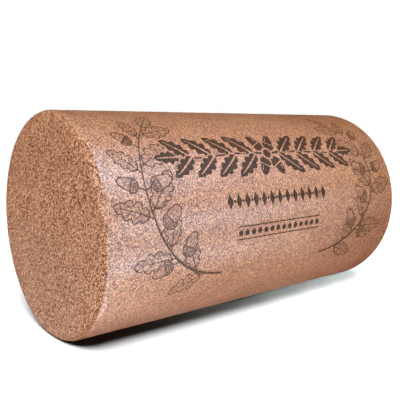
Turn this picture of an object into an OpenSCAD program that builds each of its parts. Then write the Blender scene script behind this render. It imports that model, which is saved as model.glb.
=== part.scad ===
// Wine cork: a straight stopper for a still-wine bottle, cut from a rod of
// fine agglomerated cork. It is one piece. It stands on one end, with its axis
// on +Z and the origin at the centre of the bottom face.

/* [Body] */
// Diameter of the side wall, before it is squeezed into a bottle neck
body_d = 24; // [18:0.5:32]
// Length from one end face to the other
body_h = 45; // [30:0.5:60]

/* [Rims] */
// Radius of the round-over between the side wall and the bottom end
bottom_rim_r = 0.8; // [0.2:0.1:4]
// Radius of the round-over between the side wall and the top end
top_rim_r = 0.8; // [0.2:0.1:4]

/* [Hidden] */

body_r = body_d / 2;
cork_tan = [0.74, 0.54, 0.41];
side_faces = 128;
rim_faces = 48;

// The rounded corner of the half section, with its centre at height z.
module rim_corner(r, z) {
    translate([body_r - r, z])
        circle(r = r, $fn = rim_faces);
}

// Half of the lengthwise section, from the axis to the side wall.
module half_section() {
    // Side wall between the two rims
    translate([0, bottom_rim_r])
        square([body_r, body_h - bottom_rim_r - top_rim_r]);
    // Bottom end face, and the cork above it inside the rim
    square([body_r - bottom_rim_r, body_h / 2]);
    // Top end face, and the cork below it inside the rim
    translate([0, body_h / 2])
        square([body_r - top_rim_r, body_h / 2]);
    rim_corner(bottom_rim_r, bottom_rim_r);
    rim_corner(top_rim_r, body_h - top_rim_r);
}

module cork() {
    color(cork_tan)
        rotate_extrude($fn = side_faces)
            half_section();
}

cork();
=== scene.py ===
from math import atan2, cos, hypot, pi, radians, sin

import bpy
from mathutils import Matrix, Vector, geometry


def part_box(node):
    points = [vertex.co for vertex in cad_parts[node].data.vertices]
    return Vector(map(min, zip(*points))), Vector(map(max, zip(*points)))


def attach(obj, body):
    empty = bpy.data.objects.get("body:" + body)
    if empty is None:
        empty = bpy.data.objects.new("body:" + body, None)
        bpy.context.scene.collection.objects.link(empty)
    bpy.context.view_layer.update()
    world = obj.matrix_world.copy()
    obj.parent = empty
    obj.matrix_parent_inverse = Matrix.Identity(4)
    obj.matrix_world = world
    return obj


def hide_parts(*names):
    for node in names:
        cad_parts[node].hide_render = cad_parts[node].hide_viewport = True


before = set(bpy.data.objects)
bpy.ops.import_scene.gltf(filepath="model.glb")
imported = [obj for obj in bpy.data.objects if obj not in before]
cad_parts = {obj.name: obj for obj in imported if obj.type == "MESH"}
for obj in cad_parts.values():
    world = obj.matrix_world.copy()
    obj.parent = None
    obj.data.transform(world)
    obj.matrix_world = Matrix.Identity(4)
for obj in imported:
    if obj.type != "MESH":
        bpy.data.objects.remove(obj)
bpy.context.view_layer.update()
bpy.ops.object.select_all(action="DESELECT")

# ---------------------------------------------------------------------------------------------
# Print on the side wall: one dark food-grade ink, printed straight on the sanded cork. It is
# drawn flat, in millimetres, with x from the top end down the wall and y round it. Tone says how
# much of the cork the ink covers, and later shapes cover earlier ones.
# ---------------------------------------------------------------------------------------------
MM = 0.001
cork_low, cork_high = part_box("cork")
cork_radius = (cork_high.x - cork_low.x) / 2 / MM
cork_height = (cork_high.z - cork_low.z) / MM

BARE = 0.0               # cork with no ink on it
TINT = 0.10              # the light tone inside the line drawings
HATCH = 0.50             # hatching, which prints as a half tone
FINE = 0.87              # outlines and veins
BOLD = 0.96              # the solid garland and the rows
OUTLINE_WIDTH = 0.13
VEIN_WIDTH = 0.14        # the main vein of a drawn leaf, at its stalk
SIDE_VEIN_WIDTH = 0.08
RIB_WIDTH = 0.07         # the lines on a drawn acorn cup
HATCH_WIDTH = 0.06
SOLID_GAP = 0.16         # bare cork left round each solid leaf and acorn
SOLID_VEIN_WIDTH = 0.24  # the bare main vein of a solid leaf
print_shapes = []


def fill(outline, tone):
    """Adds a closed shape to the print. Every motif is made of these."""
    print_shapes.append((outline, tone))


def put(points, at, turn):
    """The points of a motif drawn at the origin, turned by degrees and moved to a place."""
    c, s = cos(radians(turn)), sin(radians(turn))
    return [(at[0] + x * c - y * s, at[1] + x * s + y * c) for x, y in points]


def sideways(points, i, by, closed=False):
    """Point i of a line, moved sideways to its left."""
    n = len(points)
    before = points[(i - 1) % n] if closed else points[max(i - 1, 0)]
    after = points[(i + 1) % n] if closed else points[min(i + 1, n - 1)]
    dx, dy = after[0] - before[0], after[1] - before[1]
    length = hypot(dx, dy) or 1.0
    return (points[i][0] - dy / length * by, points[i][1] + dx / length * by)


def stroke(points, width, tone, end_width=None):
    """A line of ink along points, which tapers from width to end_width."""
    end_width = width if end_width is None else end_width
    last = len(points) - 1
    half = [(width + (end_width - width) * i / last) / 2 for i in range(last + 1)]
    left = [sideways(points, i, half[i]) for i in range(last + 1)]
    right = [sideways(points, i, -half[i]) for i in range(last + 1)]
    fill(right + left[::-1], tone)


def outlined(outline, width, tone, inside):
    """A closed shape with a line of ink round it. Its outline runs anticlockwise."""
    n = range(len(outline))
    fill([sideways(outline, i, -width / 2, closed=True) for i in n], tone)
    fill([sideways(outline, i, width / 2, closed=True) for i in n], inside)


def bezier(p0, p1, p2, p3, steps):
    """Points along a cubic curve from p0 to p3."""
    curve = []
    for i in range(steps + 1):
        t = i / steps
        k = ((1 - t) ** 3, 3 * t * (1 - t) ** 2, 3 * t * t * (1 - t), t ** 3)
        curve.append(tuple(sum(w * p[j] for w, p in zip(k, (p0, p1, p2, p3))) for j in (0, 1)))
    return curve


def lobed(t, lobes, depth):
    """Half width of a lobed leaf, at t from 0 at its stalk to 1 at its tip."""
    return sin(pi * t ** 0.85) ** 0.75 * (1 - depth + depth * abs(sin(pi * lobes * t)))


def leaf(at, turn, length, width, lobes=4, depth=0.42, bend=0.0, solid=False):
    """An oak leaf with its stalk end at a point, as a line drawing or as a solid shape."""
    steps = lobes * 7

    def half(t):
        return width / 2 * lobed(t, lobes, depth)

    def bent(points):
        return put([(x, y + bend * length * (x / length) ** 2) for x, y in points], at, turn)

    upper = [(length * i / steps, half(i / steps)) for i in range(steps + 1)]
    outline = bent([(x, -y) for x, y in upper] + upper[-2:0:-1])
    if solid:
        fill([sideways(outline, i, -SOLID_GAP, closed=True) for i in range(len(outline))], BARE)
        fill(outline, BOLD)
        stroke(bent([(length * 0.86 * i / 6, 0) for i in range(7)]), SOLID_VEIN_WIDTH, BARE, 0.10)
        return
    outlined(outline, OUTLINE_WIDTH, FINE, TINT)
    stroke(bent([(length * 0.93 * i / 8, 0) for i in range(9)]), VEIN_WIDTH, FINE, 0.05)
    for lobe in range(lobes):
        root, end = (lobe + 0.05) / lobes, (lobe + 0.6) / lobes
        reach = half(end) * 0.8
        for side in (1, -1):
            vein = [(length * root, 0), (length * (root * 0.4 + end * 0.6), side * reach / 2),
                    (length * end, side * reach)]
            stroke(bent(vein), SIDE_VEIN_WIDTH, FINE, 0.04)
    hatch_pitch = 0.3
    hatches = int(length / hatch_pitch)
    for k in range(2, hatches - 1):
        t = k / hatches
        edge = [(length * t, -half(t) * 0.95), (length * (t - 0.05), -half(t) * 0.5)]
        stroke(bent(edge), HATCH_WIDTH, HATCH, 0.03)


def acorn(at, turn, length, solid=False):
    """An acorn in its cup, with the cup's stalk end at a point."""
    cup_length, cup_half, nut_half = length * 0.36, length * 0.33, length * 0.28
    quarter = [pi / 2 * i / 10 for i in range(11)]
    nut_root = cup_length * 0.8
    nut_reach = length - nut_root
    nut_side = [(nut_root + nut_reach * sin(q), nut_half * max(cos(q), 0) ** 0.8) for q in quarter]
    cup_side = [(cup_length * (1 - cos(q)), cup_half * sin(q)) for q in quarter]
    cup_side.append((cup_length * 1.08, cup_half * 0.82))
    nut = put([(x, -y) for x, y in nut_side] + nut_side[-2::-1], at, turn)
    cup = put([(x, -y) for x, y in cup_side] + cup_side[:0:-1], at, turn)
    if solid:
        fill([sideways(nut, i, -SOLID_GAP, closed=True) for i in range(len(nut))], BARE)
        fill(nut, BOLD)
        lip = cup_length * 1.15
        stroke(put([(lip, cup_half * 0.9), (lip, -cup_half * 0.9)], at, turn), 0.16, BARE)
        fill(cup, BOLD)
        shine = [(length * 0.55, nut_half * 0.52), (length * 0.82, nut_half * 0.4)]
        stroke(put(shine, at, turn), 0.14, BARE, 0.05)
        return
    outlined(nut, OUTLINE_WIDTH, FINE, TINT)
    stroke(put([(length, 0), (length * 1.1, 0)], at, turn), 0.12, FINE, 0.03)
    for k in range(1, 6):
        y = -nut_half * k / 6
        shade = [(cup_length * 1.2, y), (length * (0.96 - 0.06 * k), y * 0.72)]
        stroke(put(shade, at, turn), HATCH_WIDTH, HATCH, 0.03)
    outlined(cup, OUTLINE_WIDTH, FINE, TINT)
    for k in range(-3, 4):
        rib = [(cup_length * 0.12, cup_half * 0.1 * k), (cup_length, cup_half * 0.27 * k)]
        stroke(put(rib, at, turn), RIB_WIDTH, FINE)
    for k in (1, 2, 3):
        x = cup_length * (0.1 + 0.26 * k)
        half = cup_half * (1 - (1 - x / cup_length) ** 2) ** 0.5 * 0.95
        hoop = [(x, -half), (x + cup_length * 0.08, 0), (x, half)]
        stroke(put(hoop, at, turn), RIB_WIDTH, FINE)


def mirrored(draw, middle):
    """Draws a motif twice, the second time mirrored about a line that runs round the wall."""
    first = len(print_shapes)
    draw()
    for outline, tone in print_shapes[first:]:
        fill([(2 * middle - x, y) for x, y in reversed(outline)], tone)


def oak_spray():
    """A spray of oak leaves and acorns, in fine lines, that curves round one end of the panel."""
    steps = 40
    stem = bezier((14.6, -5.2), (5.5, -4.6), (1.9, 5.5), (7.8, 12.4), steps)
    stroke(stem, 0.30, FINE, 0.10)
    stroke([(x + 0.16, y + 0.16) for x, y in stem[3:34]], HATCH_WIDTH, HATCH, 0.04)

    def twig(t, turn, length):
        """A short stalk off the stem: its end and its direction in degrees."""
        i = min(max(round(t * steps), 1), steps - 1)
        way = atan2(stem[i + 1][1] - stem[i - 1][1], stem[i + 1][0] - stem[i - 1][0])
        heading = way * 180 / pi + turn
        end = put([(length, 0)], stem[i], heading)[0]
        stroke([stem[i], end], 0.16, FINE, 0.12)
        return end, heading

    # Each leaf: place along the stem from 0 to 1, degrees off it, length, width, bend
    for t, turn, length, width, bend in (
        (0.10, 38, 4.0, 2.1, 0.06), (0.16, -40, 3.8, 2.0, -0.06), (0.30, 44, 4.4, 2.3, 0.05),
        (0.36, -46, 3.6, 2.0, -0.07), (0.52, 50, 4.0, 2.2, 0.06), (0.55, -48, 4.6, 2.5, -0.05),
        (0.72, 52, 3.4, 1.9, 0.06), (0.76, -46, 4.6, 2.4, -0.05), (0.90, 42, 2.8, 1.6, 0.05),
        (0.92, -42, 3.8, 2.0, -0.06), (1.0, 0, 3.0, 1.8, 0.0),
    ):
        leaf(*twig(t, turn, 0.5), length, width, bend=bend)
    # Each acorn: place along the stem from 0 to 1, degrees off it, length
    for t, turn, length in (
        (0.24, -75, 2.6), (0.27, 62, 2.4), (0.44, -70, 2.7),
        (0.64, -72, 2.6), (0.66, 66, 2.3), (0.84, 68, 2.2),
    ):
        acorn(*twig(t, turn, 0.8), length)


def dot(x, y, radius, tone):
    """A round dot, as a shape with sixteen sides."""
    angles = [2 * pi * i / 16 for i in range(16)]
    fill([(x + radius * cos(angle), y + radius * sin(angle)) for angle in angles], tone)


GARLAND_X, GARLAND_Y = 22.5, 7.8     # middle of the garland. The two rows share its x.


def garland_half():
    """Half of a solid garland of oak leaves, from its middle to the end nearer the bottom."""
    x0, y0 = GARLAND_X, GARLAND_Y
    stem = bezier((x0 + 0.5, y0), (x0 + 5, y0 + 0.7), (x0 + 9, y0 - 0.7), (x0 + 13.2, y0), 20)
    stroke(stem, 0.3, BOLD, 0.16)
    leaf((x0 + 12.4, y0), 0, 3.2, 1.6, solid=True)
    pair_pitch = 3.0
    for k in (3, 2, 1, 0):
        length, width = 4.3 - 0.2 * k, 1.9 - 0.06 * k
        for side in (1, -1):
            x = x0 + 2.0 + pair_pitch * k + 0.15 * side
            leaf((x, y0), 42 * side, length, width, bend=-0.07 * side, solid=True)
    for side in (1, -1):
        acorn((x0 + 0.5, y0 + 0.5 * side), 62 * side, 2.4, solid=True)


def lozenge(x, y, width, height):
    """A lozenge in solid ink, with its middle at a point."""
    fill([(x + width / 2, y), (x, y + height / 2), (x - width / 2, y), (x, y - height / 2)], BOLD)


def lozenge_row():
    """A row of thirteen lozenges with a small dot between each two."""
    row_y, pitch = 2.55, 1.25
    for k in range(-6, 7):
        lozenge(GARLAND_X + pitch * k, row_y, 0.85, 1.7)
        if k < 6:
            dot(GARLAND_X + pitch * (k + 0.5), row_y, 0.16, BOLD)


def bead_row():
    """A row of fourteen beads between two rules."""
    row_y, pitch, rule_half, rule_away = -0.9, 0.95, 6.6, 0.7
    for y in (row_y + rule_away, row_y - rule_away):
        stroke([(GARLAND_X - rule_half, y), (GARLAND_X + rule_half, y)], 0.14, BOLD)
    for k in range(14):
        dot(GARLAND_X + pitch * (k - 6.5), row_y, 0.32, BOLD)


mirrored(oak_spray, cork_height / 2)
mirrored(garland_half, GARLAND_X)
dot(GARLAND_X, GARLAND_Y, 0.85, BARE)
dot(GARLAND_X, GARLAND_Y, 0.55, BOLD)
lozenge_row()
bead_row()

# ---------------------------------------------------------------------------------------------
# Cork: one stopper of fine agglomerated cork, ground granules pressed into a rod with a little
# binder, cut to length and sanded. The wall is cut flat along the print's outlines and wrapped,
# so that the ink has true edges, and the rims and ends are extruded from it.
# ---------------------------------------------------------------------------------------------
RIM_RADIUS = 0.8         # the rims are rounded by a light sanding
RIM_STEPS = 6
WALL_PITCH = 0.35        # spacing of the wall's own grid of points
WELD_DISTANCE = 0.004    # points of the wall this close are one, so the seam at its back closes
END_RINGS = 20           # rings of faces on each end, fine enough to carry the relief
RELIEF_DEPTH = 0.04      # the most that the sanded surface dips between its high places
RELIEF_SIZE = 0.9        # from one high place to the next
UV_SPAN = 77.0           # millimetres of surface across the whole UV map
UV_GAP = 0.8             # between the parts of the surface on the UV map

half_turn = pi * cork_radius
wall_length = cork_height - 2 * RIM_RADIUS


def imprint(shapes, tone_of_bare):
    """The flat wall cut along the outlines of shapes: its points, its triangles, and their tones."""
    columns, rows = round(2 * half_turn / WALL_PITCH), round(wall_length / WALL_PITCH)
    points = [Vector((RIM_RADIUS + wall_length * r / rows, half_turn * (2 * c / columns - 1)))
              for r in range(rows + 1) for c in range(columns + 1)]
    faces = []
    for outline, _ in shapes:
        corners = [Vector(p) for p in outline]
        area = sum(a.cross(b) for a, b in zip(corners, corners[1:] + corners[:1]))
        faces.append(range(len(points), len(points) + len(corners)))
        points += corners if area > 0 else corners[::-1]
    all_triangles, nearness = 0, 1e-5
    flat, _, triangles, _, _, origins = geometry.delaunay_2d_cdt(
        points, [], [list(f) for f in faces], all_triangles, nearness, True)
    tones = [shapes[max(origin)][1] if origin else tone_of_bare for origin in origins]
    return flat, triangles, tones


def wrapped(point):
    """A point of the flat wall, put round the cork, in metres."""
    angle = point.y / cork_radius
    return Vector((cork_radius * sin(angle), -cork_radius * cos(angle), cork_height - point.x)) * MM


flat, triangles, tones = imprint(print_shapes, BARE)
wall = bpy.data.meshes.new("cork")
wall.from_pydata([wrapped(p) for p in flat], [], triangles)
wall.attributes.new("ink", "FLOAT", "FACE").data.foreach_set("value", tones)
cork = bpy.data.objects.new("agglomerated_cork_stopper", wall)
bpy.context.collection.objects.link(cork)
bpy.context.view_layer.objects.active = cork
cork.select_set(True)
bpy.ops.object.mode_set(mode="EDIT")
bpy.ops.mesh.select_all(action="SELECT")
bpy.ops.mesh.remove_doubles(threshold=WELD_DISTANCE * MM)
bpy.ops.object.mode_set(mode="OBJECT")


def select_ring(z):
    """Selects the open edge of the wall at a height."""
    for part in (cork.data.polygons, cork.data.edges, cork.data.vertices):
        part.foreach_set("select", [False] * len(part))
    for vertex in cork.data.vertices:
        vertex.select = abs(vertex.co.z - z) < 0.001 * MM


def draw_in(radius_now, radius_next, drop):
    """Extrudes the selected ring to a new radius and height."""
    share = radius_next / radius_now
    bpy.ops.mesh.extrude_region_move(TRANSFORM_OT_translate={"value": (0, 0, drop * MM)})
    bpy.ops.transform.resize(value=(share, share, 1), center_override=(0, 0, 0))


for end_z, way in ((RIM_RADIUS * MM, -1), ((cork_height - RIM_RADIUS) * MM, 1)):
    select_ring(end_z)
    bpy.ops.object.mode_set(mode="EDIT")
    bpy.ops.mesh.select_mode(type="VERT")
    radius, height = cork_radius, 0.0
    for step in range(1, RIM_STEPS + 1):
        angle = pi / 2 * step / RIM_STEPS
        radius_next = cork_radius - RIM_RADIUS * (1 - cos(angle))
        height_next = RIM_RADIUS * sin(angle)
        draw_in(radius, radius_next, way * (height_next - height))
        radius, height = radius_next, height_next
    for ring in range(1, END_RINGS):
        radius_next = (cork_radius - RIM_RADIUS) * (1 - ring / END_RINGS)
        draw_in(radius, radius_next, 0)
        radius = radius_next
    bpy.ops.mesh.extrude_region_move()
    bpy.ops.mesh.merge(type="CENTER")
    bpy.ops.object.mode_set(mode="OBJECT")

bpy.ops.object.mode_set(mode="EDIT")
bpy.ops.mesh.select_all(action="SELECT")
bpy.ops.mesh.normals_make_consistent(inside=False)
bpy.ops.object.mode_set(mode="OBJECT")
bpy.ops.object.shade_smooth()


def unrolled(corner, middle):
    """Where a corner of a face lies on the UV map, in millimetres. The wall is at the bottom of the
    map, and the two ends with their rims are above it. middle is the middle of the face."""
    x, y, z = corner / MM
    if RIM_RADIUS * 0.999 < middle.z / MM < cork_height - RIM_RADIUS * 0.999:
        around = atan2(x, -y)
        centre = atan2(middle.x, -middle.y)
        around += 2 * pi * round((centre - around) / (2 * pi))
        return (UV_GAP + half_turn + around * cork_radius, UV_GAP + z - RIM_RADIUS)
    top = middle.z > cork_height * MM / 2
    end_radius = cork_radius - RIM_RADIUS + RIM_RADIUS * pi / 2
    from_edge = RIM_RADIUS - (cork_height - z if top else z)
    radius = hypot(x, y)
    reach = radius
    past_flat = radius - cork_radius + RIM_RADIUS
    if past_flat > 0:
        reach = cork_radius - RIM_RADIUS + RIM_RADIUS * (pi / 2 - atan2(from_edge, past_flat))
    share = reach / radius if radius > 1e-9 else 0.0
    centre_x = UV_GAP + end_radius + (2 * end_radius + UV_GAP) * top
    return (centre_x + x * share, 2 * UV_GAP + wall_length + end_radius + y * share)


uv_map = cork.data.uv_layers.new(name="OFBake")
for face in cork.data.polygons:
    for loop in face.loop_indices:
        corner = cork.data.vertices[cork.data.loops[loop].vertex_index].co
        u, v = unrolled(corner, face.center)
        uv_map.data[loop].uv = (u / UV_SPAN, v / UV_SPAN)

relief = bpy.data.textures.new("sanded_cork_relief", "CLOUDS")
relief.noise_scale = RELIEF_SIZE * MM
dips = cork.modifiers.new("relief", "DISPLACE")
dips.texture = relief
dips.texture_coords = "LOCAL"
dips.strength = RELIEF_DEPTH * MM
dips.mid_level = 1.0
bpy.ops.object.modifier_apply(modifier="relief")


def colour(hex_code):
    """An sRGB hex value as linear RGBA."""
    channels = [int(hex_code[i:i + 2], 16) / 255 for i in (1, 3, 5)]
    return [c / 12.92 if c < 0.04045 else ((c + 0.055) / 1.055) ** 2.4 for c in channels] + [1]


def add(tree, kind, inputs=None, **settings):
    """Adds a node with its settings. inputs gives each socket its value, or the socket that feeds
    it."""
    new = tree.nodes.new(kind)
    for name, value in settings.items():
        setattr(new, name, value)
    for name, value in (inputs or {}).items():
        if isinstance(value, bpy.types.NodeSocket):
            tree.links.new(value, new.inputs[name])
        else:
            new.inputs[name].default_value = value
    return new


def new_material(name):
    """A material with an empty node tree, and that tree."""
    material = bpy.data.materials.new(name)
    material.use_nodes = True
    material.node_tree.nodes.clear()
    return material, material.node_tree


def sanded_agglomerated_cork():
    """Fine agglomerated cork, sanded: pressed granules from pale tan to bark brown, under a thin wax
    coat that gives a soft sheen and lies thicker on the low, dark granules. The ink is dark, dulls
    the wax and lets a little of the grain through."""
    material, tree = new_material("sanded_agglomerated_cork")
    place = add(tree, "ShaderNodeTexCoord").outputs["Object"]
    # The grain of this cork is too fine to show, so it is drawn as coarse as it needs to show.
    granule = 0.095 * MM     # a pressed granule
    dust = 0.06 * MM         # the fines between granules
    patch = 5.0 * MM         # slow change of tone from one part of the rod to another
    dust_share = 0.19        # of the tone
    grain_through_ink = 0.07
    granules = add(tree, "ShaderNodeTexVoronoi", {"Vector": place, "Scale": 1 / granule})
    fines = add(tree, "ShaderNodeTexVoronoi", {"Vector": place, "Scale": 1 / dust})
    patches = add(tree, "ShaderNodeTexNoise", {"Vector": place, "Scale": 1 / patch, "Detail": 2.0})
    coarse = add(tree, "ShaderNodeSeparateColor", {"Color": granules.outputs["Color"]})
    fine = add(tree, "ShaderNodeSeparateColor", {"Color": fines.outputs["Color"]})
    mixed = add(tree, "ShaderNodeMix", {
        "Factor": dust_share, "A": coarse.outputs["Red"], "B": fine.outputs["Green"]}).outputs["Result"]
    slow = add(tree, "ShaderNodeMapRange", {
        "Value": patches.outputs["Fac"],
        "From Min": 0.3, "From Max": 0.7, "To Min": -0.03, "To Max": 0.03}).outputs["Result"]
    grain = add(tree, "ShaderNodeMath", {0: mixed, 1: slow}, operation="ADD").outputs[0]
    ramp = add(tree, "ShaderNodeValToRGB", {"Fac": grain})
    stops = ramp.color_ramp.elements
    stops[0].position, stops[0].color = 0.18, colour("#60220A")
    stops[1].position, stops[1].color = 0.82, colour("#F2BE92")
    for position, tone in ((0.34, "#8E4917"), (0.50, "#BA7541"), (0.66, "#DD9A6A")):
        stop = stops.new(position)
        stop.color = colour(tone)
    tan = ramp.outputs["Color"]
    ink = add(tree, "ShaderNodeAttribute", attribute_name="ink").outputs["Fac"]
    inked = add(tree, "ShaderNodeMix", {
        "Factor": grain_through_ink, "A": colour("#2A1C14"), "B": tan}, data_type="RGBA").outputs[2]
    skin = add(tree, "ShaderNodeMix", {0: ink, 6: tan, 7: inked}, data_type="RGBA").outputs[2]
    bump = add(tree, "ShaderNodeBump", {
        "Height": mixed, "Strength": 0.2, "Distance": 0.03 * MM}).outputs["Normal"]
    wax = add(tree, "ShaderNodeMapRange", {
        "Value": grain,
        "From Min": 0.2, "From Max": 0.8, "To Min": 1.0, "To Max": 0.72}).outputs["Result"]
    unprinted = add(tree, "ShaderNodeMapRange", {
        "Value": ink, "To Min": 1.0, "To Max": 0.0}).outputs["Result"]
    coat = add(tree, "ShaderNodeMath", {0: wax, 1: unprinted}, operation="MULTIPLY").outputs[0]
    surface = add(tree, "ShaderNodeBsdfPrincipled", {
        "Base Color": skin, "Roughness": 0.4, "IOR": 1.45, "Specular IOR Level": 0.25,
        "Normal": bump, "Coat Weight": coat, "Coat Roughness": 0.4, "Coat IOR": 2.1})
    add(tree, "ShaderNodeOutputMaterial", {"Surface": surface.outputs["BSDF"]})
    return material


cork.data.materials.append(sanded_agglomerated_cork())
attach(cork, "root")
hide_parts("cork")

# ---------------------------------------------------------------------------------------------
# Floor. The stopper stands on its end, and the camera is rolled so that it seems to lie on its
# side. So the plain white sheet that it seems to lie on is upright, and touches its wall.
# ---------------------------------------------------------------------------------------------
SHEET_SIZE = 600.0
# As the camera sees the stopper: along it from its near end, across it away from the eye, and up.
ALONG, INTO, UP = Vector((0, 0, -1)), Vector((0, 1, 0)), Vector((1, 0, 0))
cork_middle = Vector((0, 0, cork_height / 2))
rests_at = cork_middle - UP * cork_radius

bpy.ops.mesh.primitive_plane_add(
    size=SHEET_SIZE * MM, location=rests_at * MM, rotation=(0, pi / 2, 0))
sheet = bpy.context.object
sheet.name = "white_sheet"
bpy.ops.object.transform_apply(location=True, rotation=True, scale=True)


def white_paper():
    """Matt paper that shows its face and the stopper's shadow. From behind it is clear, and all
    light but the camera's rays passes through it. It is dark, and its own lamps are strong enough
    to turn it white, so that light off the cork doesn't fill the shadow."""
    material, tree = new_material("white_paper")
    seen = add(tree, "ShaderNodeLightPath").outputs["Is Camera Ray"]
    back = add(tree, "ShaderNodeNewGeometry").outputs["Backfacing"]
    shown = add(tree, "ShaderNodeMath", {0: seen, 1: back}, operation="SUBTRACT", use_clamp=True)
    paper = add(tree, "ShaderNodeBsdfDiffuse", {"Color": colour("#272727")})
    clear = add(tree, "ShaderNodeBsdfTransparent")
    both = add(tree, "ShaderNodeMixShader", {
        "Fac": shown.outputs[0], 1: clear.outputs["BSDF"], 2: paper.outputs["BSDF"]})
    add(tree, "ShaderNodeOutputMaterial", {"Surface": both.outputs["Shader"]})
    return material


sheet.data.materials.append(white_paper())

# ---------------------------------------------------------------------------------------------
# Light: soft boxes round the stopper, some of which its wax doesn't mirror, small panels for the
# sheen near its top end, and two lamps that light the sheet alone, so that it is white up to the
# stopper's shadow with no more light on the cork.
# ---------------------------------------------------------------------------------------------
BOX_DISTANCE = 260
BOX_SIZE = 180
LOW_BOX_SIZE = 110
PANEL_DISTANCE = 200
PANEL_SIZE = 70
PANEL_SPREAD = 14        # degrees, so that a panel lights one place and not all of the cork
SKY_BLUE = "#C6E0FF"

lit_cork = bpy.data.collections.new("lit_cork")
lit_cork.objects.link(cork)
lit_sheet = bpy.data.collections.new("lit_sheet")
lit_sheet.objects.link(sheet)


def way_to(along, into, up):
    """A direction, given as the camera sees the stopper."""
    return (ALONG * along + INTO * into + UP * up).normalized()


def soft_box(name, way, watts, tint="#FFFFFF", size=BOX_SIZE, distance=BOX_DISTANCE,
             aim=cork_middle, spread=180, on=lit_cork, shine=True):
    """A square lamp that faces aim. It lights only what is in the collection on, and without
    shine it isn't mirrored there."""
    lamp = bpy.data.lights.new(name, "AREA")
    lamp.size = size * MM
    lamp.energy = watts
    lamp.color = colour(tint)[:3]
    lamp.spread = radians(spread)
    box = bpy.data.objects.new(name, lamp)
    box.location = (aim + way * distance) * MM
    box.rotation_euler = way.to_track_quat("Z", "Y").to_euler()
    box.light_linking.receiver_collection = on
    box.visible_glossy = shine
    bpy.context.collection.objects.link(box)


near_front = cork_middle - ALONG * 20.5 - INTO * 11      # on the printed side, by the near rim
soft_box("end_box", way_to(-0.95, -0.1, 0.2), 0.88, "#E2E9FF", shine=False)
# Each panel: degrees from straight at the wall towards the far end, degrees up, watts
for turn, tilt, watts in (
    (-40, -15, 0.0011), (-8, -10, 0.0039), (-8, -45, 0.0043), (20, 45, 0.0038),
    (35, -30, 0.0023), (35, 0, 0.0023), (35, 30, 0.0014), (35, 60, 0.0036), (50, 40, 0.0008),
):
    out = cos(radians(tilt))
    way = way_to(sin(radians(turn)) * out, -cos(radians(turn)) * out, sin(radians(tilt)))
    soft_box("front_panel", way, watts, SKY_BLUE, size=PANEL_SIZE, distance=PANEL_DISTANCE,
             aim=near_front, spread=PANEL_SPREAD)
soft_box("top_box", way_to(0, 0.1, 1), 0.12, "#FFF0E4")
soft_box("top_far_box", way_to(0.6, -0.3, 0.75), 0.29, "#FFF4EC", shine=False)
soft_box("low_box", way_to(0.13, -0.22, -0.97), 0.27, "#FFE0D8", size=LOW_BOX_SIZE)
soft_box("low_front_box", way_to(0.35, -0.61, -0.71), 0.067, "#FFE6CC", size=LOW_BOX_SIZE)
soft_box("far_box", way_to(0.95, -0.3, 0.1), 0.56, "#FFE0A0", shine=False)
soft_box("back_box", way_to(0, 0.9, 0.4), 0.14, shine=False)
soft_box("low_back_box", way_to(0.1, 0.95, -0.25), 0.2, shine=False)
soft_box("end_shine", way_to(-0.35, 0.75, -0.45), 0.022)

sun = bpy.data.lights.new("sheet_sun", "SUN")
sun.energy = 256.0
sun.angle = radians(24)
sun_way = way_to(-0.45, -0.62, 0.85)
overhead = bpy.data.objects.new("sheet_sun", sun)
overhead.location = (cork_middle + sun_way * BOX_DISTANCE) * MM
overhead.rotation_euler = sun_way.to_track_quat("Z", "Y").to_euler()
overhead.light_linking.receiver_collection = lit_sheet
bpy.context.collection.objects.link(overhead)
far_corner = rests_at + ALONG * 47 - INTO * 14       # on the sheet, past the far end
soft_box("sheet_pool", way_to(0.5, -0.8, 0.3), 0.84, size=40, distance=200,
         aim=far_corner, spread=14.5, on=lit_sheet)

# The room is white to the camera and gives no light.
room = bpy.data.worlds.new("white_room")
room.use_nodes = True
room.node_tree.nodes.clear()
unlit = add(room.node_tree, "ShaderNodeBackground", {"Color": colour("#FFFFFF"), "Strength": 0.0})
shown = add(room.node_tree, "ShaderNodeBackground", {"Color": colour("#FFFFFF"), "Strength": 1.0})
seen = add(room.node_tree, "ShaderNodeLightPath").outputs["Is Camera Ray"]
either = add(room.node_tree, "ShaderNodeMixShader", {
    "Fac": seen, 1: unlit.outputs["Background"], 2: shown.outputs["Background"]})
add(room.node_tree, "ShaderNodeOutputWorld", {"Surface": either.outputs["Shader"]})
bpy.context.scene.world = room

# ---------------------------------------------------------------------------------------------
# Camera. It looks at the printed wall and the top end from close by, rolled a quarter turn so
# that the stopper's top end is at the left.
# ---------------------------------------------------------------------------------------------
CAMERA_TURN = radians(39.2)      # from straight at the wall towards the bottom end
CAMERA_TILT = radians(7.34)      # down at the white sheet
CAMERA_DISTANCE = 72.9           # to the plane through the cork's middle
CAMERA_LENS = 51.15
MIDDLE_RIGHT, MIDDLE_BELOW = 1.584, 0.947    # of the cork's middle, from the middle of the view

level = INTO * cos(CAMERA_TURN) + ALONG * sin(CAMERA_TURN)
forward = level * cos(CAMERA_TILT) - UP * sin(CAMERA_TILT)
right = ALONG * cos(CAMERA_TURN) - INTO * sin(CAMERA_TURN)
upward = right.cross(forward)
eye = cork_middle - forward * CAMERA_DISTANCE - right * MIDDLE_RIGHT + upward * MIDDLE_BELOW
lens = bpy.data.cameras.new("camera")
lens.lens = CAMERA_LENS
lens.clip_start = 1 * MM
camera = bpy.data.objects.new("camera", lens)
turned = Matrix((right, upward, -forward)).transposed().to_4x4()
camera.matrix_world = Matrix.Translation(eye * MM) @ turned
bpy.context.collection.objects.link(camera)
bpy.context.scene.camera = camera
bpy.context.scene.view_settings.view_transform = "Standard"
